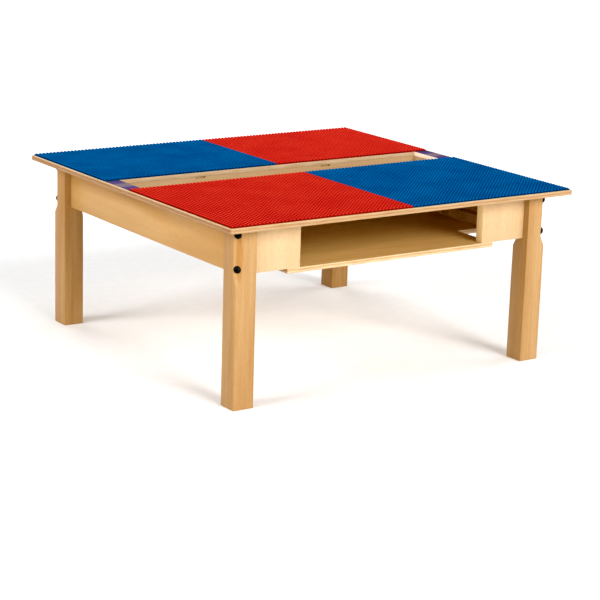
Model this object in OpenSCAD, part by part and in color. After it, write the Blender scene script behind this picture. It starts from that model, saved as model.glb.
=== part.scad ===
// Low play table for children, with studded building plates on its top, a long slot that drops
// into a trough, and a storage bay open to the front and another open to the back.
// Millimetres. +X is to the right, +Y to the back, +Z up. The origin is on the ground under the
// middle of the table.

/* [Building plates] */
// Distance from one stud to the next on the plates
stud_pitch = 8; // [7:0.5:9]
// Studs across each row of plates
studs_across = 96; // [84:1:110]
// Rows of studs on the front plates
front_rows = 45; // [36:1:60]
// Rows of studs on the back plates
back_rows = 37; // [32:1:60]
// Studs across the front left plate
front_left_studs = 48; // [30:1:60]
// Studs across the back left plate
back_left_studs = 50; // [30:1:60]
// Thickness of the plates' sheet, under the studs
plate_t = 2; // [1:0.1:3]
// Radius of the plates' corners
plate_corner_r = 2; // [0.5:0.5:6]

/* [Tabletop] */
// Height of the tabletop's upper face above the ground
table_h = 342; // [280:2:520]
// Thickness of the tabletop's plywood
top_t = 9; // [6:0.5:15]
// Bare board around the plates
top_margin = 5; // [1:0.5:10]
// Radius of the tabletop's corners
top_corner_r = 8; // [2:1:20]

/* [Slot and trough] */
// Width of the slot from front to back
slot_d = 94; // [70:1:130]
// Board from each end of the slot to the side of the tabletop
slot_end_w = 36; // [28:1:44]
// Thickness of the trough's front and back walls
wall_t = 12; // [9:0.5:16]
// Height of the tongues that hang the trough's walls in the side aprons
tongue_h = 10; // [6:0.5:14]
// Thickness of the rails that close the ends of the slot
rail_t = 12; // [8:0.5:14]
// Thickness of the ledge on each of those rails
ledge_t = 4; // [3:0.5:8]
// Thickness of the labels at the ends of the slot
label_t = 0.5; // [0.3:0.1:1.5]
// Gap around each label
label_gap = 0.5; // [0.2:0.1:2]

/* [Wall notches] */
// Width of the two notches in the back wall's top edge
notch_w = 22; // [10:1:40]
// Height of the notches
notch_h = 3.5; // [2:0.5:6]
// Depth of the notches into the wall
notch_depth = 5; // [2:0.5:7]
// Place of the left notch, from the middle of the table
notch_left_x = -171; // [-220:1:-120]
// Place of the right notch, from the middle of the table
notch_right_x = 126; // [80:1:220]

/* [Legs] */
// Side of each square leg
leg_s = 42.5; // [38:0.5:56]
// Overhang of the tabletop past the legs
leg_inset = 36; // [26:1:50]
// Width of the chamfer on a leg's outer corner, along each face
leg_chamfer = 10; // [9:0.5:14]
// Height over which that chamfer runs out to a point
chamfer_runout = 16; // [8:1:30]
// Width of the cut on a leg's inner corner, along each face
inner_cut = 11.5; // [8:0.5:14]
// Height over which that cut runs out
inner_runout = 20; // [10:1:40]

/* [Aprons and panels] */
// Thickness of the side aprons and of the panels
apron_t = 19; // [15:0.5:21]
// Height of the side aprons, the panels and the trough
apron_h = 88; // [74:1:120]
// Distance of the aprons behind the legs' outer faces
apron_setback = 14; // [10:0.5:16]
// Width of the opening between two panels
opening_w = 418; // [340:2:480]

/* [Storage floor] */
// Thickness of the storage floor's plywood
floor_t = 9; // [6:0.5:15]
// How far the floor runs under each panel, past the opening
floor_lap = 27; // [20:1:50]
// Distance from the floor's arm that runs from side to side to the legs
cross_arm_inset = 80; // [20:1:150]
// Gap between that arm and the side aprons' inner faces
floor_gap = 0.5; // [0.2:0.1:2]
// Width of the cleats that carry the floor
cleat_w = 16; // [12:1:24]
// Height of the cleats
cleat_h = 19; // [17:1:30]

/* [Corner blocks] */
// Reach of each corner block along the aprons' inner faces
block_reach = 45; // [42:1:60]
// Diameter of the leg bolts
bolt_d = 8; // [6:0.5:8]
// Added to the bolts' diameter for the holes in the wood
bolt_hole_gap = 0.6; // [0.2:0.1:1]
// Diameter of the bolts' heads
bolt_head_d = 14; // [12:0.5:14]
// Height of the bolts' heads
bolt_head_h = 4.4; // [3:0.1:6]
// Width across the flats of the socket in each head
socket_w = 5; // [4:0.5:6]
// Depth of that socket
socket_depth = 2.6; // [1.5:0.1:3]
// Distance of the bolts from the aprons' upper and lower edges
bolt_inset = 13; // [10:0.5:16]
// Diameter of the washers
washer_d = 16; // [15:0.5:20]
// Thickness of the washers
washer_t = 1.6; // [1:0.1:2.5]
// Added to the bolts' diameter for the washers' holes
washer_gap = 0.4; // [0.2:0.1:1]
// Width of the nuts across their flats
nut_w = 13; // [12:0.5:14]
// Height of the nuts
nut_h = 6.5; // [4:0.5:8]
// Added to the bolts' diameter for the nuts' bores
nut_gap = 0.1; // [0.05:0.05:0.2]
// Length of bolt that stands past each nut
bolt_end = 2; // [1:0.5:6]

/* [Screws] */
// Diameter of the wood screws
screw_d = 4; // [3:0.5:4.5]
// Diameter of their countersunk heads
screw_head_d = 8; // [7:0.5:9]
// Length of the point of each screw
screw_tip = 4; // [2:0.5:6]
// Length of the screws through the tabletop and the corner blocks
long_screw = 35; // [30:1:38]
// Length of the screws through the storage floor and the cleats
short_screw = 25; // [20:1:26]
// Gap between a screw and its hole, on the radius
screw_gap = 0.1; // [0.05:0.05:0.3]
// Wood under the heads of the corner blocks' screws
block_grip = 20; // [17:0.5:22]
// Distance of those screws from the aprons' corner
block_screw_offset = 18; // [15:0.5:20]

/* [Hidden] */
$fn = 48;

// How far a cutter runs past the face that it cuts
over = 1;

// The tabletop, from the plates that it carries
plates_w = studs_across * stud_pitch;
plates_d = (front_rows + back_rows) * stud_pitch + slot_d;
top_w = plates_w + 2 * top_margin;
top_d = plates_d + 2 * top_margin;
under_z = table_h - top_t;
slot_x = top_w / 2 - slot_end_w;
slot_front_y = front_rows * stud_pitch - plates_d / 2;
slot_back_y = slot_front_y + slot_d;
front_joint_x = front_left_studs * stud_pitch - plates_w / 2;
back_joint_x = back_left_studs * stud_pitch - plates_w / 2;

// Faces of the legs, the aprons and the panels, right and back of the middle
leg_x = top_w / 2 - leg_inset;
leg_y = top_d / 2 - leg_inset;
leg_in_x = leg_x - leg_s;
leg_in_y = leg_y - leg_s;
apron_x = leg_x - apron_setback;
apron_y = leg_y - apron_setback;
apron_in_x = apron_x - apron_t;
apron_in_y = apron_y - apron_t;
apron_z = under_z - apron_h;
apron_mid_x = apron_x - apron_t / 2;
apron_mid_y = apron_y - apron_t / 2;
opening_x = opening_w / 2;
floor_z = apron_z - floor_t;
cross_arm_y = leg_in_y - cross_arm_inset;

// The trough's walls are flush with the slot's edges and hang in the side aprons by tongues
trough_front_y = slot_front_y - wall_t;
trough_back_y = slot_back_y + wall_t;
wall_mid_ys = [slot_front_y - wall_t / 2, slot_back_y + wall_t / 2];
tongue_x = slot_x + rail_t;
tongue_z = under_z - tongue_h;

// Distance of the aprons' inner faces from a leg's outer corner, along each side. The rest are
// along the diagonal from that corner: to the chamfer, to the cut of the inner corner, to the
// uncut corner and to the far face of the corner block.
inner_face = apron_setback + apron_t;
diag_chamfer = leg_chamfer / sqrt(2);
diag_cut = (2 * leg_s - inner_cut) / sqrt(2);
diag_corner = leg_s * sqrt(2);
diag_block = (2 * inner_face + block_reach) / sqrt(2);

// Leg bolts, from the chamfer through the leg and its corner block
bolt_zs = [apron_z + bolt_inset, under_z - bolt_inset];
bolt_len = diag_block - diag_chamfer + washer_t + nut_h + bolt_end;

function between(a, b, share) = a + (b - a) * share;

// Long screws go down through the tabletop into the side aprons, the panels and the trough's walls
top_screw_places = concat(
    [for (side = [-1, 1], share = [0.25, 0.75])
        [side * apron_mid_x, between(-leg_in_y, trough_front_y, share)]],
    [for (side = [-1, 1])
        [side * apron_mid_x, between(trough_back_y, leg_in_y, 0.5)]],
    [for (side = [-1, 1], end = [-1, 1], share = [0.25, 0.75])
        [side * between(opening_x, leg_in_x, share), end * apron_mid_y]],
    [for (share = [-0.8, 0, 0.8], y = wall_mid_ys)
        [share * apron_in_x, y]]
);

// Short screws go up through the storage floor into the panels, the cleats and the trough's walls
cleat_mid_x = apron_in_x - cleat_w / 2;
front_cleat_ys = [-cross_arm_y, trough_front_y];
back_cleat_ys = [trough_back_y, cross_arm_y];
floor_screw_places = concat(
    [for (side = [-1, 1], end = [-1, 1])
        [side * (opening_x + floor_lap / 2), end * apron_mid_y]],
    [for (side = [-1, 1], span = [front_cleat_ys, back_cleat_ys], share = [0.2, 0.8])
        [side * cleat_mid_x, between(span[0], span[1], share)]],
    [for (share = [-0.6, 0, 0.6], y = wall_mid_ys)
        [share * apron_in_x, y]]
);

// A board seen from above, with rounded corners, from its front left corner
module rounded_board(w, d, t, r) {
    linear_extrude(height = t) {
        translate([r, 0]) square([w - 2 * r, d]);
        translate([0, r]) square([w, d - 2 * r]);
        for (x = [r, w - r], y = [r, d - r])
            translate([x, y]) circle(r = r);
    }
}

// Repeats on the left what is drawn on the right
module on_side(side) {
    mirror([side < 0 ? 1 : 0, 0, 0]) children();
}

// Moves to a leg's outer corner. What is drawn there lies towards +X and +Y at the front left,
// and is mirrored for the other corners.
module at_corner(side, end) {
    mirror([side > 0 ? 1 : 0, 0, 0])
        mirror([0, end > 0 ? 1 : 0, 0])
            translate([-leg_x, -leg_y, 0])
                children();
}

module at_each_corner() {
    for (side = [-1, 1], end = [-1, 1])
        at_corner(side, end) children();
}

// Turns +Z to the diagonal that runs from a leg's outer corner to the inside
module along_diagonal(distance, z) {
    translate([0, 0, z])
        rotate([0, 0, 45])
            rotate([0, 90, 0])
                translate([0, 0, distance])
                    children();
}

// Stands a profile, drawn with the diagonal along X and the height along Y, across the leg
module across_corner() {
    rotate([0, 0, 45])
        rotate([90, 0, 0])
            linear_extrude(height = 2 * diag_corner, center = true)
                children();
}

// Countersunk wood screw that points down, its head's top at the origin. A hole has its gap and
// rises past the face.
module screw_shape(length, gap = 0, rise = 0) {
    head_r = screw_head_d / 2 + gap;
    shank_r = screw_d / 2 + gap;
    rotate_extrude()
        polygon(concat(
            [[0, rise], [head_r, rise]],
            rise > 0 ? [[head_r, 0]] : [],
            [[shank_r, shank_r - head_r], [shank_r, screw_tip - length], [0, -length - gap]]
        ));
}

module top_screws(gap = 0, rise = 0) {
    for (place = top_screw_places)
        translate([place[0], place[1], table_h])
            screw_shape(long_screw, gap, rise);
}

module floor_screws(gap = 0, rise = 0) {
    for (place = floor_screw_places)
        translate([place[0], place[1], floor_z])
            mirror([0, 0, 1])
                screw_shape(short_screw, gap, rise);
}

// Screws through the cleats into the side aprons
module cleat_screws(gap = 0, rise = 0) {
    for (side = [-1, 1], span = [front_cleat_ys, back_cleat_ys], share = [0.35, 0.65])
        on_side(side)
            translate([apron_in_x - cleat_w, between(span[0], span[1], share), apron_z + cleat_h / 2])
                rotate([0, -90, 0])
                    screw_shape(short_screw, gap, rise);
}

// Screws of one corner block, two into the side apron and two into the panel, at heights that
// share out the space between the leg bolts
module block_screws(gap = 0, rise = 0) {
    head = inner_face + block_grip;
    line = inner_face + block_screw_offset;
    for (share = [0.2, 0.6])
        translate([head, line, between(bolt_zs[0], bolt_zs[1], share)])
            rotate([0, 90, 0])
                screw_shape(long_screw, gap, rise);
    for (share = [0.4, 0.8])
        translate([line, head, between(bolt_zs[0], bolt_zs[1], share)])
            rotate([-90, 0, 0])
                screw_shape(long_screw, gap, rise);
}

module leg_bolt_holes() {
    for (z = bolt_zs)
        along_diagonal(0, z)
            cylinder(d = bolt_d + bolt_hole_gap, h = diag_block + over);
}

module tabletop() {
    color("burlywood")
        difference() {
            translate([-top_w / 2, -top_d / 2, under_z])
                rounded_board(top_w, top_d, top_t, top_corner_r);
            translate([-slot_x, slot_front_y, under_z - over])
                cube([2 * slot_x, slot_d, top_t + 2 * over]);
            top_screws(screw_gap, over);
        }
}

// Sheet of one building plate, between two of the tabletop's lines each way
module plate(x1, x2, y1, y2) {
    translate([x1, y1, table_h])
        rounded_board(x2 - x1, y2 - y1, plate_t, plate_corner_r);
}

module plate_front_left() {
    color("firebrick") plate(-plates_w / 2, front_joint_x, -plates_d / 2, slot_front_y);
}

module plate_front_right() {
    color("steelblue") plate(front_joint_x, plates_w / 2, -plates_d / 2, slot_front_y);
}

module plate_back_left() {
    color("steelblue") plate(-plates_w / 2, back_joint_x, slot_back_y, plates_d / 2);
}

module plate_back_right() {
    color("firebrick") plate(back_joint_x, plates_w / 2, slot_back_y, plates_d / 2);
}

// Plain label between the end of the slot and the side of the plates
module end_label(side) {
    color("slateblue")
        on_side(side)
            translate([slot_x + label_gap, slot_front_y + label_gap, table_h])
                cube([plates_w / 2 - slot_x - 2 * label_gap, slot_d - 2 * label_gap, label_t]);
}

// Square leg. The outer corner has a stopped chamfer for the bolts' heads, and the inner corner is
// cut flat for the corner block. Both run out to a point below the aprons.
module leg() {
    color("burlywood")
        difference() {
            cube([leg_s, leg_s, under_z]);
            across_corner()
                polygon([
                    [-over, apron_z - chamfer_runout],
                    [0, apron_z - chamfer_runout],
                    [diag_chamfer, apron_z],
                    [diag_chamfer, under_z + over],
                    [-over, under_z + over]
                ]);
            across_corner()
                polygon([
                    [diag_corner + over, apron_z - inner_runout],
                    [diag_corner, apron_z - inner_runout],
                    [diag_cut, apron_z],
                    [diag_cut, under_z + over],
                    [diag_corner + over, under_z + over]
                ]);
            leg_bolt_holes();
        }
}

// Side apron between the front and back legs, notched for the trough's tongues and rail
module side_apron(side) {
    color("navajowhite")
        difference() {
            on_side(side)
                translate([apron_in_x, -leg_in_y, apron_z])
                    cube([apron_t, 2 * leg_in_y, apron_h]);
            on_side(side)
                translate([apron_in_x - over, trough_front_y, tongue_z])
                    cube([apron_t + 2 * over, trough_back_y - trough_front_y, tongue_h + over]);
            top_screws(screw_gap);
            cleat_screws(screw_gap);
            at_each_corner() block_screws(screw_gap);
        }
}

// Panel beside an opening, drawn at the back right
module panel(side, end) {
    color("navajowhite")
        difference() {
            on_side(side)
                mirror([0, end < 0 ? 1 : 0, 0])
                    translate([opening_x, apron_in_y, apron_z])
                        cube([leg_in_x - opening_x, apron_t, apron_h]);
            top_screws(screw_gap);
            floor_screws(screw_gap);
            at_corner(side, end) block_screws(screw_gap);
        }
}

// Wall of the trough, from its lower front edge, with a tongue over each side apron
module trough_wall(y) {
    difference() {
        union() {
            translate([-apron_in_x, y, apron_z]) cube([2 * apron_in_x, wall_t, apron_h]);
            translate([-tongue_x, y, tongue_z]) cube([2 * tongue_x, wall_t, tongue_h]);
        }
        top_screws(screw_gap);
        floor_screws(screw_gap);
    }
}

module trough_wall_front() {
    color("goldenrod") trough_wall(trough_front_y);
}

module trough_wall_back() {
    color("goldenrod")
        difference() {
            trough_wall(slot_back_y);
            for (x = [notch_left_x, notch_right_x])
                translate([x - notch_w / 2, slot_back_y - over, under_z - notch_h])
                    cube([notch_w, notch_depth + over, notch_h + over]);
        }
}

// Rail under the end of the slot, between the tongues. Its ledge bridges the space from the slot's
// end to the side apron, and its underside slopes up to the outside.
module trough_rail(side) {
    color("goldenrod")
        on_side(side)
            translate([0, slot_back_y, 0])
                rotate([90, 0, 0])
                    linear_extrude(height = slot_d)
                        polygon([
                            [slot_x, under_z],
                            [tongue_x, under_z],
                            [tongue_x, tongue_z],
                            [slot_x, tongue_z - ledge_t],
                            [apron_x, tongue_z - ledge_t],
                            [apron_x, tongue_z],
                            [slot_x, tongue_z]
                        ]);
}

// Floor of the storage bays and of the trough: one arm reaches the front and back openings, and
// the other reaches the side aprons
module storage_floor() {
    arm_x = opening_x + floor_lap;
    cross_x = apron_in_x - floor_gap;
    color("burlywood")
        difference() {
            translate([0, 0, floor_z])
                linear_extrude(height = floor_t) {
                    translate([-arm_x, -apron_y]) square([2 * arm_x, 2 * apron_y]);
                    translate([-cross_x, -cross_arm_y]) square([2 * cross_x, 2 * cross_arm_y]);
                }
            floor_screws(screw_gap, over);
        }
}

// Cleat on a side apron's inner face, along one span of the floor's cross arm
module cleat(side, span) {
    color("peru")
        difference() {
            on_side(side)
                translate([apron_in_x - cleat_w, span[0], apron_z])
                    cube([cleat_w, span[1] - span[0], cleat_h]);
            floor_screws(screw_gap);
            cleat_screws(screw_gap, over);
        }
}

// Block that ties a leg to the side apron and the panel at its corner, its nose against the leg's
// inner cut
module corner_block() {
    color("peru")
        difference() {
            translate([0, 0, apron_z])
                linear_extrude(height = apron_h)
                    polygon([
                        [leg_s, leg_s - inner_cut],
                        [leg_s, inner_face],
                        [inner_face + block_reach, inner_face],
                        [inner_face, inner_face + block_reach],
                        [inner_face, leg_s],
                        [leg_s - inner_cut, leg_s]
                    ]);
            leg_bolt_holes();
            block_screws(screw_gap, block_reach);
        }
}

// Bolt along +Z from its head's seat, with a domed head and a hexagon socket
module leg_bolt() {
    head_r = bolt_head_d / 2;
    dome_r = (head_r * head_r + bolt_head_h * bolt_head_h) / (2 * bolt_head_h);
    difference() {
        union() {
            intersection() {
                translate([0, 0, dome_r - bolt_head_h]) sphere(r = dome_r);
                translate([0, 0, -bolt_head_h]) cylinder(r = head_r + over, h = bolt_head_h);
            }
            cylinder(d = bolt_d, h = bolt_len);
        }
        translate([0, 0, -bolt_head_h - over])
            cylinder(d = socket_w / cos(30), h = socket_depth + over, $fn = 6);
    }
}

module leg_bolts() {
    color("black")
        at_each_corner()
            for (z = bolt_zs)
                along_diagonal(diag_chamfer, z) leg_bolt();
}

module leg_washers() {
    color("silver")
        at_each_corner()
            for (z = bolt_zs)
                along_diagonal(diag_block, z)
                    difference() {
                        cylinder(d = washer_d, h = washer_t);
                        translate([0, 0, -over]) cylinder(d = bolt_d + washer_gap, h = washer_t + 2 * over);
                    }
}

module leg_nuts() {
    color("silver")
        at_each_corner()
            for (z = bolt_zs)
                along_diagonal(diag_block + washer_t, z)
                    difference() {
                        cylinder(d = nut_w / cos(30), h = nut_h, $fn = 6);
                        translate([0, 0, -over]) cylinder(d = bolt_d + nut_gap, h = nut_h + 2 * over);
                    }
}

module long_screws() {
    color("silver") {
        top_screws();
        at_each_corner() block_screws();
    }
}

module short_screws() {
    color("silver") {
        floor_screws();
        cleat_screws();
    }
}

tabletop();
plate_front_left();
plate_front_right();
plate_back_left();
plate_back_right();
end_label(-1);  // label_left
end_label(1);  // label_right
at_corner(-1, -1) leg();  // leg_front_left
at_corner(1, -1) leg();  // leg_front_right
at_corner(-1, 1) leg();  // leg_back_left
at_corner(1, 1) leg();  // leg_back_right
side_apron(-1);  // side_apron_left
side_apron(1);  // side_apron_right
panel(-1, -1);  // panel_front_left
panel(1, -1);  // panel_front_right
panel(-1, 1);  // panel_back_left
panel(1, 1);  // panel_back_right
trough_wall_front();
trough_wall_back();
trough_rail(-1);  // trough_rail_left
trough_rail(1);  // trough_rail_right
storage_floor();
cleat(-1, front_cleat_ys);  // cleat_front_left
cleat(1, front_cleat_ys);  // cleat_front_right
cleat(-1, back_cleat_ys);  // cleat_back_left
cleat(1, back_cleat_ys);  // cleat_back_right
at_corner(-1, -1) corner_block();  // corner_block_front_left
at_corner(1, -1) corner_block();  // corner_block_front_right
at_corner(-1, 1) corner_block();  // corner_block_back_left
at_corner(1, 1) corner_block();  // corner_block_back_right
leg_bolts();
leg_washers();
leg_nuts();
long_screws();
short_screws();
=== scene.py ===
import math

import bpy
from mathutils import Matrix, Vector


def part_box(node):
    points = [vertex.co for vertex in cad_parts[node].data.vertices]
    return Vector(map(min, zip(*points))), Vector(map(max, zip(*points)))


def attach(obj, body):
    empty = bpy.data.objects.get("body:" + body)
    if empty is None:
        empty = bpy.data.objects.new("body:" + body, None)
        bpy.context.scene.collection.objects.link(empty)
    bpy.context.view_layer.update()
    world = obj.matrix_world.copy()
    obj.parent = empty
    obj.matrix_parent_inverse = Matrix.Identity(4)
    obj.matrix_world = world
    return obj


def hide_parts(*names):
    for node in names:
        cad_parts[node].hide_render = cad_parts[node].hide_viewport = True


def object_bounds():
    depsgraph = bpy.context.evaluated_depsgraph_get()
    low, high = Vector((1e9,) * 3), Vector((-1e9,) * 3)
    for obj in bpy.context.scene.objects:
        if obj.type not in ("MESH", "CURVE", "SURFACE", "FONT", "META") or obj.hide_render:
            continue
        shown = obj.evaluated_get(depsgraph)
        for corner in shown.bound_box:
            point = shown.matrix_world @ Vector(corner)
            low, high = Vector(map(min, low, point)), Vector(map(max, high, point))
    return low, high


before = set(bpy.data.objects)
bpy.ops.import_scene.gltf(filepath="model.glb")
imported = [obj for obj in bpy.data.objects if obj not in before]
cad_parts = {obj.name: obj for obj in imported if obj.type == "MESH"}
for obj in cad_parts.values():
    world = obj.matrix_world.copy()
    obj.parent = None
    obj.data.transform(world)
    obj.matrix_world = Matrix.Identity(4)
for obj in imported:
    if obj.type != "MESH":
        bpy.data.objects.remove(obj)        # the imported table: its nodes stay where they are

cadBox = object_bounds()
mm = 0.001                           # sizes below are in millimetres and are multiplied by this
touch = 0.001 * mm                   # points closer than this are one point
smoothAngle = math.radians(28)       # edges flatter than this are shaded smooth


# small helpers

def linear(hexColour):
    channels = []
    for start in (1, 3, 5):
        value = int(hexColour[start:start + 2], 16) / 255
        channels.append(value / 12.92 if value <= 0.04045 else ((value + 0.055) / 1.055) ** 2.4)
    return (*channels, 1.0)


# An input is a value or another node's output. A colour ramp also takes its stops, each a place
# and a hex colour.
def addNode(material, kind, inputs=None, stops=(), **settings):
    node = material.node_tree.nodes.new(kind)
    for name, value in settings.items():
        setattr(node, name, value)
    for key, value in (inputs or {}).items():
        if isinstance(value, bpy.types.NodeSocket):
            material.node_tree.links.new(value, node.inputs[key])
        else:
            node.inputs[key].default_value = value
    if stops:
        elements = node.color_ramp.elements
        elements.remove(elements[1])
        elements[0].position, elements[0].color = stops[0][0], linear(stops[0][1])
        for place, hexColour in stops[1:]:
            elements.new(place).color = linear(hexColour)
    return node


white = "#FFFFFF"
colourA, colourB, mixed = 6, 7, 2      # the sockets for colours of a Mix node
choose = {"data_type": "RGBA"}
multiply = {"data_type": "RGBA", "blend_type": "MULTIPLY"}


def newMaterial(name):
    material = bpy.data.materials.new(name)
    material.use_nodes = True
    material.node_tree.nodes.clear()
    return material


def finishMaterial(material, inputs):
    shader = addNode(material, "ShaderNodeBsdfPrincipled", inputs)
    addNode(material, "ShaderNodeOutputMaterial", {"Surface": shader.outputs["BSDF"]})
    return material


def startFresh():
    if bpy.context.mode != "OBJECT":
        bpy.ops.object.mode_set(mode="OBJECT")
    bpy.ops.object.select_all(action="DESELECT")


# A CAD node's mesh is loose triangles, so the copy's points are merged. It is left in edit mode.
def copyNode(nodeName, ending):
    startFresh()
    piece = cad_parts[nodeName].copy()
    piece.data = piece.data.copy()
    piece.name = nodeName + ending
    bpy.context.scene.collection.objects.link(piece)
    piece.select_set(True)
    bpy.context.view_layer.objects.active = piece
    bpy.ops.object.mode_set(mode="EDIT")
    bpy.ops.mesh.select_all(action="SELECT")
    bpy.ops.mesh.remove_doubles(threshold=touch)
    return piece


def dress(piece, material):
    piece.data.materials.clear()
    piece.data.materials.append(material)
    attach(piece, "root")


# camera: the photograph's place and angle

camera = {
    "place": (-2150.9, -3166.1, 1085.6),
    "turn": 34.43,            # degrees to the right of straight back
    "tilt": -14.69,           # degrees above the level
    "roll": 1.79,
    "lens": 118.58, "sensor": 36,
    "farthest": 100,          # metres
}


def placeCamera(spec):
    data = bpy.data.cameras.new("camera")
    data.sensor_width = spec["sensor"]
    data.lens = spec["lens"]
    data.clip_end = spec["farthest"]
    item = bpy.data.objects.new("camera", data)
    bpy.context.scene.collection.objects.link(item)
    turn = Matrix.Rotation(math.radians(-spec["turn"]), 4, "Z")
    tilt = Matrix.Rotation(math.radians(90 + spec["tilt"]), 4, "X")
    roll = Matrix.Rotation(math.radians(spec["roll"]), 4, "Z")
    item.matrix_world = Matrix.Translation(Vector(spec["place"]) * mm) @ turn @ tilt @ roll
    bpy.context.scene.camera = item


placeCamera(camera)
print("camera placed")


# A golden streak down the chamfer of the front left leg, past its bolts, tapering to a point
chamferStreak = {
    "middle": (-345.5, -341.5, 283), "reach": (8, 8, 76),
    "colour": "#EFDFC0",      # multiplies the wood's own colour
    "core": 0.8,              # share of the reach with the full colour
    "ragged": (76, 5, {"Detail": 3.0}),      # length and width of what frays its outline
    "wander": 0.45,           # how far the outline strays
}

# Solid wood under clear lacquer: long soft grain, a slow change of tone from board to board,
# and fine pores. The grain runs along one axis of the object, "tone" is the share of the change
# of tone where it isn't full, and "faces" are sides given a paler pale and deep tone: painted
# light.
woods = {
    "leg": {"pale": "#AA885D", "deep": "#A0794C", "grainAxis": 2, "chamferStreak": chamferStreak},
    "legPaintedShade": {"pale": "#9D7A4E", "deep": "#946C40", "grainAxis": 2},      # darker copy of the leg wood: painted shade
    "panel": {
        "pale": "#C0A37D", "deep": "#BC9C75", "grainAxis": 2, "tone": 0.4,
        # the ends of the panels are painted paler: painted light
        "faces": {(1, 0, 0): ("#EBCC99", "#E6C793"), (-1, 0, 0): ("#EBCC99", "#E6C793")}},
    "apron": {"pale": "#B38C59", "deep": "#AE8653", "grainAxis": 1},
    # paler overall than troughBack, and paler still on the back of the front bay: painted light
    "troughFront": {
        "pale": "#C9B083", "deep": "#C2A377", "grainAxis": 0,
        "faces": {(0, -1, 0): ("#F8E29C", "#EDD28A")}},      # the back of the front bay
    "troughBack": {"pale": "#AC9371", "deep": "#A98C6B", "grainAxis": 0},
    "block": {"pale": "#B49164", "deep": "#9A7245", "grainAxis": 2},
}
woodGrain = {
    # length and width of one streak, and its noise
    "grain": (160, 5, {"Detail": 5.0, "Roughness": 0.62, "Distortion": 0.6}),
    "tone": (420, 45, {"Detail": 2.0}),
    "pores": (9, 0.7, {"Detail": 2.0, "Roughness": 0.6}),
    "spread": (0.30, 0.70),      # heights of the noise that are all deep and all pale
    "toneTint": [(0.30, "#E8DCCB"), (0.65, white)],
    "poreTint": [(0.30, "#DCCDB9"), (0.42, white)],
    "poreShare": 0.7,
    "poreRelief": {"Distance": 0.05 * mm, "Strength": 0.5},
    "lacquer": {"Roughness": 0.42, "Specular IOR Level": 0.12},
}
facing = 0.7              # a side faces a direction when its normal's share along it is above this


# soft streaks, so long along one axis and so wide across it
def streaks(material, coords, axis, length, width, noise):
    size = [width * mm] * 3
    size[axis] = length * mm
    stretched = addNode(material, "ShaderNodeMapping", {"Vector": coords, "Scale": size},
                        vector_type="TEXTURE")
    return addNode(material, "ShaderNodeTexNoise", {
        "Vector": stretched.outputs["Vector"], "Scale": 1.0, **noise}).outputs["Fac"]


def colourGrain(material, normal, grain, wood, spread):
    deepAt, paleAt = spread
    colour = addNode(material, "ShaderNodeValToRGB", {"Fac": grain},
                     [(deepAt, wood["deep"]), (paleAt, wood["pale"])]).outputs["Color"]
    # sides that face one way get a paler tone that stands in for the light on them: painted light
    for direction, (pale, deep) in wood.get("faces", {}).items():
        along = addNode(material, "ShaderNodeVectorMath", {0: normal, 1: direction},
                        operation="DOT_PRODUCT")
        onFace = addNode(material, "ShaderNodeMath", {0: along.outputs["Value"], 1: facing},
                         operation="GREATER_THAN")
        paintedLightColour = addNode(material, "ShaderNodeValToRGB", {"Fac": grain},
                            [(deepAt, deep), (paleAt, pale)])
        colour = addNode(material, "ShaderNodeMix", {
            "Factor": onFace.outputs[0], colourA: colour, colourB: paintedLightColour.outputs["Color"]},
            **choose).outputs[mixed]
    return colour


def addChamferStreak(material, coords, colour, spec):
    fromMiddle = addNode(material, "ShaderNodeMapping", {
        "Vector": coords, "Location": Vector(spec["middle"]) * mm,
        "Scale": Vector(spec["reach"]) * mm}, vector_type="TEXTURE")
    away = addNode(material, "ShaderNodeVectorMath", {0: fromMiddle.outputs["Vector"]},
                   operation="LENGTH")
    ragged = streaks(material, coords, 2, *spec["ragged"])
    place = addNode(material, "ShaderNodeMath", {
        0: ragged, 1: spec["wander"], 2: away.outputs["Value"]}, operation="MULTIPLY_ADD")
    streak = addNode(material, "ShaderNodeValToRGB", {"Fac": place.outputs[0]},
                     [(spec["core"], spec["colour"]), (1.0, white)])
    return addNode(material, "ShaderNodeMix", {
        "Factor": 1.0, colourA: colour, colourB: streak.outputs["Color"]},
        **multiply).outputs[mixed]


def solidWood(name, wood):
    material = newMaterial(name)
    coordinates = addNode(material, "ShaderNodeTexCoord").outputs
    grain, tone, pores = (
        streaks(material, coordinates["Object"], wood["grainAxis"], *woodGrain[pattern])
        for pattern in ("grain", "tone", "pores"))
    colour = colourGrain(material, coordinates["Normal"], grain, wood, woodGrain["spread"])
    for pattern, tint, share in ((tone, woodGrain["toneTint"], wood.get("tone", 1.0)),
                                 (pores, woodGrain["poreTint"], woodGrain["poreShare"])):
        layer = addNode(material, "ShaderNodeValToRGB", {"Fac": pattern}, tint)
        colour = addNode(material, "ShaderNodeMix", {
            "Factor": share, colourA: colour, colourB: layer.outputs["Color"]},
            **multiply).outputs[mixed]
    if "chamferStreak" in wood:
        colour = addChamferStreak(material, coordinates["Object"], colour, wood["chamferStreak"])
    bump = addNode(material, "ShaderNodeBump", {"Height": pores, **woodGrain["poreRelief"]})
    return finishMaterial(material, {
        "Base Color": colour, "Normal": bump.outputs["Normal"], **woodGrain["lacquer"]})
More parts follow.
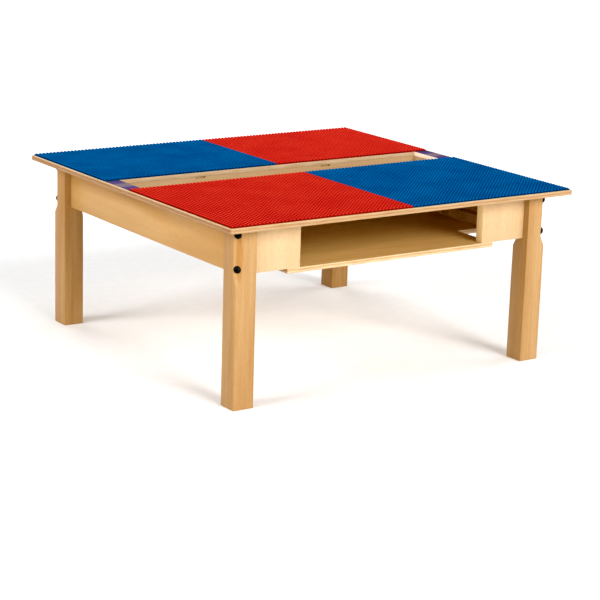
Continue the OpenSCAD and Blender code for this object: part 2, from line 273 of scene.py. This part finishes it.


# Birch plywood: long grain on the faces, and bare layers on the edges with thin dark glue lines.
# The edges round the slot take one smooth pale tone, and those across its ends the palest: a
# painted highlight.
plywoods = {
    "top": {
        "pale": "#C3A87F", "deep": "#B39365",
        "faces": {(0, 0, -1): ("#F1E3C8", "#E8D6B4")},      # underside painted paler, to throw more light into the front bay: painted light
        "layerPale": "#B08F6B", "layerDeep": "#A27E53", "glue": "#8D6840",
        "slotSide": "#AB9374", "slotEndHighlight": "#F2E0CC"},
    "floor": {
        "pale": "#BF9B67", "deep": "#AC834D",
        "layerPale": "#CDB38B", "layerDeep": "#B8956A", "glue": "#9C7648"},
}
veneer = {
    # where each layer starts, from the underside up, as shares of the thickness; the deep layer at
    # the underside is partly painted shade
    "layers": [("layerDeep", 0.0), ("layerPale", 0.14), ("glue", 0.44), ("layerDeep", 0.48),
               ("glue", 0.76), ("layerPale", 0.79)],
    "blur": 0.02,
    "endGrain": "#E9DBCE",       # multiplies the layers on the left and right edges
    "streak": (1.2, 34, {"Detail": 3.0, "Roughness": 0.65}),      # height and length on an edge
    "streakTint": [(0.30, "#DCC9B4"), (0.60, white)],
    "streakRelief": {"Distance": 0.08 * mm, "Strength": 0.4},
    "grain": (190, 7, {"Detail": 5.0, "Roughness": 0.6, "Distortion": 0.8}),      # on a face
    "spread": (0.32, 0.68),
    "slot": (370, 50),           # half the room round the slot, in x and in y
    "lacquer": {"Roughness": 0.45, "Specular IOR Level": 0.25},
}


def slotEdgeTones(material, plywood, place, lengthwise, edges, streakTint):
    front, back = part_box("label_left")
    acrossReach, depthReach = veneer["slot"]
    near = addNode(material, "ShaderNodeMath", {0: place["X"], 1: 0.0, 2: acrossReach * mm},
                   operation="COMPARE")
    level = addNode(material, "ShaderNodeMath", {
        0: place["Y"], 1: (front.y + back.y) / 2, 2: depthReach * mm}, operation="COMPARE")
    inSlot = addNode(material, "ShaderNodeMath", {0: near.outputs[0], 1: level.outputs[0]},
                     operation="MULTIPLY")
    # edges across the ends of the slot take the painted highlight, those along it the smooth pale
    # tone
    tone = addNode(material, "ShaderNodeMix", {
        "Factor": lengthwise, colourA: linear(plywood["slotEndHighlight"]),
        colourB: linear(plywood["slotSide"])}, **choose)
    streaked = addNode(material, "ShaderNodeMix", {
        "Factor": 1.0, colourA: tone.outputs[mixed], colourB: streakTint}, **multiply)
    return addNode(material, "ShaderNodeMix", {
        "Factor": inSlot.outputs[0], colourA: edges, colourB: streaked.outputs[mixed]},
        **choose).outputs[mixed]


def birchPlywood(name, plywood, nodeName):
    material = newMaterial(name)
    coordinates = addNode(material, "ShaderNodeTexCoord").outputs
    place, normal = (addNode(material, "ShaderNodeSeparateXYZ", {"Vector": vector}).outputs
                     for vector in (coordinates["Object"], coordinates["Normal"]))
    low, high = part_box(nodeName)
    height = addNode(material, "ShaderNodeMapRange", {
        "Value": place["Z"], "From Min": low.z, "From Max": high.z})
    stops = []
    for tone, start in veneer["layers"]:
        if stops:
            stops.append((start - veneer["blur"], stops[-1][1]))
        stops.append((start, plywood[tone]))
    edges = addNode(material, "ShaderNodeValToRGB", {"Fac": height.outputs["Result"]},
                    stops).outputs["Color"]
    streak = streaks(material, coordinates["Object"], 2, *veneer["streak"])
    streakTint = addNode(material, "ShaderNodeValToRGB", {"Fac": streak},
                         veneer["streakTint"]).outputs["Color"]
    lengthwise, onEdge = (
        addNode(material, "ShaderNodeMath", {0: normal[axis], 1: 0.0, 2: facing},
                operation="COMPARE").outputs[0] for axis in ("X", "Z"))
    endTint = addNode(material, "ShaderNodeMix", {
        "Factor": lengthwise, colourA: linear(veneer["endGrain"]), colourB: linear(white)},
        **choose).outputs[mixed]
    for tint in (streakTint, endTint):
        edges = addNode(material, "ShaderNodeMix", {
            "Factor": 1.0, colourA: edges, colourB: tint}, **multiply).outputs[mixed]
    if "slotSide" in plywood:
        edges = slotEdgeTones(material, plywood, place, lengthwise, edges, streakTint)
    grain = streaks(material, coordinates["Object"], 0, *veneer["grain"])
    faces = colourGrain(material, coordinates["Normal"], grain, plywood, veneer["spread"])
    colour = addNode(material, "ShaderNodeMix", {
        "Factor": onEdge, colourA: faces, colourB: edges}, **choose)
    bump = addNode(material, "ShaderNodeBump", {"Height": streak, **veneer["streakRelief"]})
    return finishMaterial(material, {
        "Base Color": colour.outputs[mixed], "Normal": bump.outputs["Normal"],
        **veneer["lacquer"]})


# Moulded ABS: an even colour with the slightest cloud in it and a satin skin with hardly any
# shine. It is painted darker at the foot of the studs than on top of them: painted shade.
plastics = {
    "red": {"pale": "#C33429", "deep": "#BC2D25"},
    "blue": {"pale": "#00598F", "deep": "#005084"},
}
moulding = {
    "cloud": 60, "spread": (0.35, 0.65),
    "studFootShade": "#989898",      # multiplies the colour at the foot of the studs
    "rise": 1.4,              # height over which this fades out
    "pebble": 1.2, "relief": {"Distance": 0.02 * mm, "Strength": 0.3},
    "skin": {"Roughness": 0.5, "IOR": 1.08},
}


def mouldedPlastic(name, plastic):
    material = newMaterial(name)
    coords = addNode(material, "ShaderNodeTexCoord").outputs["Object"]
    cloud = addNode(material, "ShaderNodeTexNoise", {
        "Vector": coords, "Scale": 1 / (moulding["cloud"] * mm), "Detail": 2.0})
    deepAt, paleAt = moulding["spread"]
    colour = addNode(material, "ShaderNodeValToRGB", {"Fac": cloud.outputs["Fac"]},
                     [(deepAt, plastic["deep"]), (paleAt, plastic["pale"])])
    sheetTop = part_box("plate_front_left")[1].z
    place = addNode(material, "ShaderNodeSeparateXYZ", {"Vector": coords})
    raised = addNode(material, "ShaderNodeMapRange", {
        "Value": place.outputs["Z"], "From Min": sheetTop,
        "From Max": sheetTop + moulding["rise"] * mm})
    shade = addNode(material, "ShaderNodeValToRGB", {"Fac": raised.outputs["Result"]},
                    [(0.0, moulding["studFootShade"]), (1.0, white)])
    shaded = addNode(material, "ShaderNodeMix", {
        "Factor": 1.0, colourA: colour.outputs["Color"], colourB: shade.outputs["Color"]},
        **multiply)
    pebble = addNode(material, "ShaderNodeTexNoise", {
        "Vector": coords, "Scale": 1 / (moulding["pebble"] * mm), "Detail": 1.0})
    bump = addNode(material, "ShaderNodeBump", {
        "Height": pebble.outputs["Fac"], **moulding["relief"]})
    return finishMaterial(material, {
        "Base Color": shaded.outputs[mixed], "Normal": bump.outputs["Normal"],
        **moulding["skin"]})


# Printed vinyl film, nearly matt: dark ends, purple, and a pale mottled band across the middle
film = {
    "dark": "#232143", "purple": "#3F2D65", "pale": "#6A5B67",
    "band": (10.5, 19.5),     # the pale band fades out between these distances from the middle
    "end": (32.4, 39.6),      # and the purple between these
    "mottle": 12,
    "skin": {"Roughness": 0.6, "Specular IOR Level": 0.2},
}


def labelFilm(name):
    material = newMaterial(name)
    coords = addNode(material, "ShaderNodeTexCoord").outputs["Object"]
    low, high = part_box("label_left")
    half = (high.y - low.y) / 2
    mottle = film["mottle"] * mm
    place = addNode(material, "ShaderNodeSeparateXYZ", {"Vector": coords})
    blotches = addNode(material, "ShaderNodeTexNoise", {
        "Vector": coords, "Scale": 1 / mottle, "Detail": 2.0})
    ragged = addNode(material, "ShaderNodeMath", {
        0: blotches.outputs["Fac"], 1: mottle, 2: place.outputs["Y"]}, operation="MULTIPLY_ADD")
    off = addNode(material, "ShaderNodeMath", {
        0: ragged.outputs[0], 1: (low.y + high.y + mottle) / 2}, operation="SUBTRACT")
    distance = addNode(material, "ShaderNodeMath", {0: off.outputs[0]}, operation="ABSOLUTE")
    share = addNode(material, "ShaderNodeMath", {0: distance.outputs[0], 1: half},
                    operation="DIVIDE")
    places = [edge * mm / half for edge in (*film["band"], *film["end"])]
    colours = [film[tone] for tone in ("pale", "purple", "purple", "dark")]
    colour = addNode(material, "ShaderNodeValToRGB", {"Fac": share.outputs[0]},
                     list(zip(places, colours)))
    return finishMaterial(material, {"Base Color": colour.outputs["Color"], **film["skin"]})


# Steel: black oxide on the leg bolts, bright zinc on their nuts, yellow zinc on the wood screws,
# each with the faint haze that a bath leaves
steels = {
    "black": {
        "pale": "#0E0A07", "deep": "#050302",
        "skin": {"Metallic": 0.0, "Specular IOR Level": 0.15, "Roughness": 0.5}},
    "zinc": {
        "pale": "#C9C9C4", "deep": "#A9A9A3",
        "skin": {"Metallic": 1.0, "Specular IOR Level": 0.5, "Roughness": 0.35}},
    "yellow": {
        "pale": "#C9A560", "deep": "#A88445",
        "skin": {"Metallic": 1.0, "Specular IOR Level": 0.5, "Roughness": 0.4}},
}
bath = {"haze": 2, "spread": (0.35, 0.65)}


def platedSteel(name, steel):
    material = newMaterial(name)
    coords = addNode(material, "ShaderNodeTexCoord").outputs["Object"]
    haze = addNode(material, "ShaderNodeTexNoise", {
        "Vector": coords, "Scale": 1 / (bath["haze"] * mm), "Detail": 3.0})
    deepAt, paleAt = bath["spread"]
    colour = addNode(material, "ShaderNodeValToRGB", {"Fac": haze.outputs["Fac"]},
                     [(deepAt, steel["deep"]), (paleAt, steel["pale"])])
    return finishMaterial(material, {"Base Color": colour.outputs["Color"], **steel["skin"]})


legWood = solidWood("lacqueredLegWood", woods["leg"])
legWoodPaintedShade = solidWood("lacqueredLegWoodPaintedShade", woods["legPaintedShade"])
panelWood = solidWood("lacqueredPanelWood", woods["panel"])
apronWood = solidWood("lacqueredApronWood", woods["apron"])
frontTroughWood = solidWood("lacqueredFrontTroughWood", woods["troughFront"])
backTroughWood = solidWood("lacqueredBackTroughWood", woods["troughBack"])
blockWood = solidWood("planedBlockWood", woods["block"])
topPlywood = birchPlywood("birchPlywoodTop", plywoods["top"], "tabletop")
floorPlywood = birchPlywood("birchPlywoodFloor", plywoods["floor"], "storage_floor")
redPlastic = mouldedPlastic("redMouldedPlastic", plastics["red"])
bluePlastic = mouldedPlastic("blueMouldedPlastic", plastics["blue"])
purpleFilm = labelFilm("purpleLabelFilm")
blackSteel = platedSteel("blackOxideSteel", steels["black"])
zincSteel = platedSteel("zincPlatedSteel", steels["zinc"])
yellowSteel = platedSteel("yellowZincSteel", steels["yellow"])
print("materials made")


# finishes of the CAD nodes that stay as they are

nodeFinish = {
    "label_left": purpleFilm, "label_right": purpleFilm,
    "trough_wall_front": frontTroughWood, "trough_wall_back": backTroughWood,
    "trough_rail_left": backTroughWood, "trough_rail_right": backTroughWood,
    "leg_bolts": blackSteel, "leg_washers": zincSteel, "leg_nuts": zincSteel,
    "long_screws": yellowSteel, "short_screws": yellowSteel,
}
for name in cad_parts:
    if name.startswith(("cleat", "corner_block")):
        nodeFinish[name] = blockWood
for name, material in nodeFinish.items():
    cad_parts[name].data.materials.clear()
    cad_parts[name].data.materials.append(material)
print("nodes finished:", len(nodeFinish))


# wooden pieces with eased edges

easedPieces = {
    "tabletop": {
        "material": topPlywood, "slot": "birch_plywood", "ease": 0.9,
        "corner": 12},        # its rounded corners lie this near its sides, and are eased all round
    "storage_floor": {
        "material": floorPlywood, "slot": "birch_plywood", "ease": 0.4,
        "sharpPast": 319},    # its ends, which meet the aprons, stay sharp
}
for end in ("front", "back"):
    for side in ("left", "right"):
        easedPieces[f"leg_{end}_{side}"] = {"material": legWood, "slot": "leg_wood", "ease": 1.2}
        easedPieces[f"panel_{end}_{side}"] = {
            "material": panelWood, "slot": "apron_wood", "ease": 0.8}
for side in ("left", "right"):
    easedPieces[f"side_apron_{side}"] = {"material": apronWood, "slot": "apron_wood", "ease": 0.8}
# the back right leg takes the darker copy of the leg wood: painted shade
easedPieces["leg_back_right"]["material"] = legWoodPaintedShade

easing = {
    "flat": 0.5,              # degrees; faces that meet flatter than this become one
    "sharp": 40,              # degrees between two faces at an edge that is eased
    "shortest": 6,            # edges of the screw holes are shorter than this
    "steps": 2,
}


def selectEdges(piece, spec):
    normals = {}
    for polygon in piece.data.polygons:
        for key in polygon.edge_keys:
            normals.setdefault(key, []).append(polygon.normal)
    cornerX, cornerY = (side - spec.get("corner", 0) * mm for side in cadBox[1][:2])
    for edge in piece.data.edges:
        first, second = (piece.data.vertices[i].co for i in edge.vertices)
        sides = normals[edge.key]
        sharp = len(sides) == 2 and sides[0].angle(sides[1]) > math.radians(easing["sharp"])
        long = (first - second).length > easing["shortest"] * mm
        atCorner = "corner" in spec and abs(first.x) > cornerX and abs(first.y) > cornerY
        stays = "sharpPast" in spec and min(abs(first.x), abs(second.x)) > spec["sharpPast"] * mm
        edge.select = sharp and (long or atCorner) and not stays


def easeEdges(nodeName, spec):
    piece = copyNode(nodeName, "_eased")
    bpy.ops.mesh.customdata_custom_splitnormals_clear()
    bpy.ops.mesh.dissolve_limited(angle_limit=math.radians(easing["flat"]))
    bpy.ops.mesh.select_all(action="DESELECT")
    bpy.ops.object.mode_set(mode="OBJECT")
    selectEdges(piece, spec)
    bpy.ops.object.mode_set(mode="EDIT")
    bpy.ops.mesh.select_mode(type="EDGE")
    bpy.ops.mesh.bevel(offset=spec["ease"] * mm, segments=easing["steps"])
    bpy.ops.object.mode_set(mode="OBJECT")
    bpy.ops.object.shade_smooth_by_angle(angle=smoothAngle)
    dress(piece, spec["material"])
    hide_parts(nodeName)


for nodeName, spec in easedPieces.items():
    easeEdges(nodeName, spec)
print("edges eased:", len(easedPieces))


# building plates: sheets and their studs

# "seam" is how far the edge between red and blue moves to the right, in whole studs of 8 mm
plates = {
    "plate_front_left": {"material": redPlastic, "slot": "red_plastic", "seam": 8},
    "plate_front_right": {"material": bluePlastic, "slot": "blue_plastic", "seam": 8},
    "plate_back_left": {"material": bluePlastic, "slot": "blue_plastic", "seam": -8},
    "plate_back_right": {"material": redPlastic, "slot": "red_plastic", "seam": -8},
}


def fitSheet(plateName, plate):
    piece = copyNode(plateName, "_fitted")
    bpy.ops.mesh.select_all(action="DESELECT")
    bpy.ops.mesh.select_mode(type="VERT")
    bpy.ops.object.mode_set(mode="OBJECT")
    for vertex in piece.data.vertices:          # the inner end
        vertex.select = abs(vertex.co.x) < cadBox[1][0] / 2
    bpy.ops.object.mode_set(mode="EDIT")
    bpy.ops.transform.translate(value=(plate["seam"] * mm, 0, 0))
    bpy.ops.object.mode_set(mode="OBJECT")
    dress(piece, plate["material"])
    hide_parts(plateName)
    return piece


stud = {
    "pitch": 8, "diameter": 4.9, "height": 1.8,
    "sunk": 0.3,              # into the sheet, so that no gap shows
    "rim": 0.3, "sides": 14,
}


def addStuds(plateName, plate, sheet):
    startFresh()
    low, high = (Vector(edge(vertex.co[i] for vertex in sheet.data.vertices) for i in range(3))
                 for edge in (min, max))
    pitch = stud["pitch"] * mm
    middleZ = high.z + (stud["height"] - stud["sunk"]) / 2 * mm
    bpy.ops.mesh.primitive_cylinder_add(
        vertices=stud["sides"], radius=stud["diameter"] / 2 * mm,
        depth=(stud["height"] + stud["sunk"]) * mm,
        location=(low.x + pitch / 2, low.y + pitch / 2, middleZ))
    piece = bpy.context.object
    piece.name = plateName.replace("plate", "studs")
    bpy.ops.object.transform_apply(location=True, rotation=True, scale=True)
    bpy.ops.object.mode_set(mode="EDIT")
    bpy.ops.mesh.select_all(action="DESELECT")
    bpy.ops.object.mode_set(mode="OBJECT")
    for edge in piece.data.edges:               # the rim
        edge.select = all(piece.data.vertices[i].co.z > middleZ for i in edge.vertices)
    bpy.ops.object.mode_set(mode="EDIT")
    bpy.ops.mesh.select_mode(type="EDGE")
    bpy.ops.mesh.bevel(offset=stud["rim"] * mm, segments=1)
    bpy.ops.object.mode_set(mode="OBJECT")
    for axis, span in enumerate((high.x - low.x, high.y - low.y)):
        row = piece.modifiers.new("row", "ARRAY")
        row.use_relative_offset = False
        row.use_constant_offset = True
        row.constant_offset_displace = [pitch if axis == i else 0 for i in range(3)]
        row.count = round(span / pitch)
        bpy.ops.object.modifier_apply(modifier=row.name)
    bpy.ops.object.shade_smooth_by_angle(angle=smoothAngle)
    dress(piece, plate["material"])


for plateName, plate in plates.items():
    addStuds(plateName, plate, fitSheet(plateName, plate))
    print("studs on", plateName)


# floor and light

studio = {
    "size": 300,              # metres
    "paper": [(0.4, "#EDEDED"), (0.6, "#EFEFEF")], "cloud": 25,
    "ambient": 0.18,
    # height and turn in degrees: above the level, and from the front towards the right
    "suns": {
        "key": {"strength": 3.5, "height": 27, "turn": 5, "softness": 26},
        "back": {"strength": 1.2, "height": 30, "turn": 180, "softness": 40},
        "right": {"strength": 1.1, "height": 35, "turn": 90, "softness": 40},
        "left": {"strength": 2.5, "height": 30, "turn": -90, "softness": 32},
        "lowRight": {"strength": 0.9, "height": 9, "turn": 28, "softness": 30},
        "lowLeft": {"strength": 1.3, "height": 10, "turn": -46, "softness": 34},
    },
    # contrast of the picture: dark tones come out darker and warmer, light ones as they are
    "contrast": [(0.012, 0.001), (0.05, 0.03), (0.15, 0.137), (0.45, 0.45)],
}


# Matt white paper: no shine, and the faintest cloud in it
def layPaper(spec):
    startFresh()
    bpy.ops.mesh.primitive_plane_add(size=spec["size"], location=(0, 0, 0))
    ground = bpy.context.object
    ground.name = "ground"
    material = newMaterial("matteWhitePaper")
    coords = addNode(material, "ShaderNodeTexCoord").outputs["Object"]
    cloud = addNode(material, "ShaderNodeTexNoise", {
        "Vector": coords, "Scale": 1 / (spec["cloud"] * mm), "Detail": 2.0})
    tint = addNode(material, "ShaderNodeValToRGB", {"Fac": cloud.outputs["Fac"]}, spec["paper"])
    ground.data.materials.append(finishMaterial(material, {
        "Base Color": tint.outputs["Color"], "Roughness": 1.0, "Specular IOR Level": 0.0}))


def hangLights(spec):
    world = bpy.data.worlds.new("studio")
    bpy.context.scene.world = world
    world.use_nodes = True
    background = world.node_tree.nodes["Background"].inputs
    background["Color"].default_value = (1, 1, 1, 1)
    background["Strength"].default_value = spec["ambient"]
    for name, sun in spec["suns"].items():
        light = bpy.data.lights.new(name, "SUN")
        light.energy = sun["strength"]
        light.angle = math.radians(sun["softness"])
        lamp = bpy.data.objects.new(name, light)
        bpy.context.scene.collection.objects.link(lamp)
        lamp.rotation_euler = (
            math.radians(90 - sun["height"]), 0, math.radians(sun["turn"]))


def setContrast(spec):
    show = bpy.context.scene.view_settings
    show.view_transform = "Standard"
    show.use_curve_mapping = True
    allChannels = show.curve_mapping.curves[3]
    for place in spec["contrast"]:
        allChannels.points.new(*place)
    show.curve_mapping.update()


layPaper(studio)
hangLights(studio)
setContrast(studio)
print("studio lit")
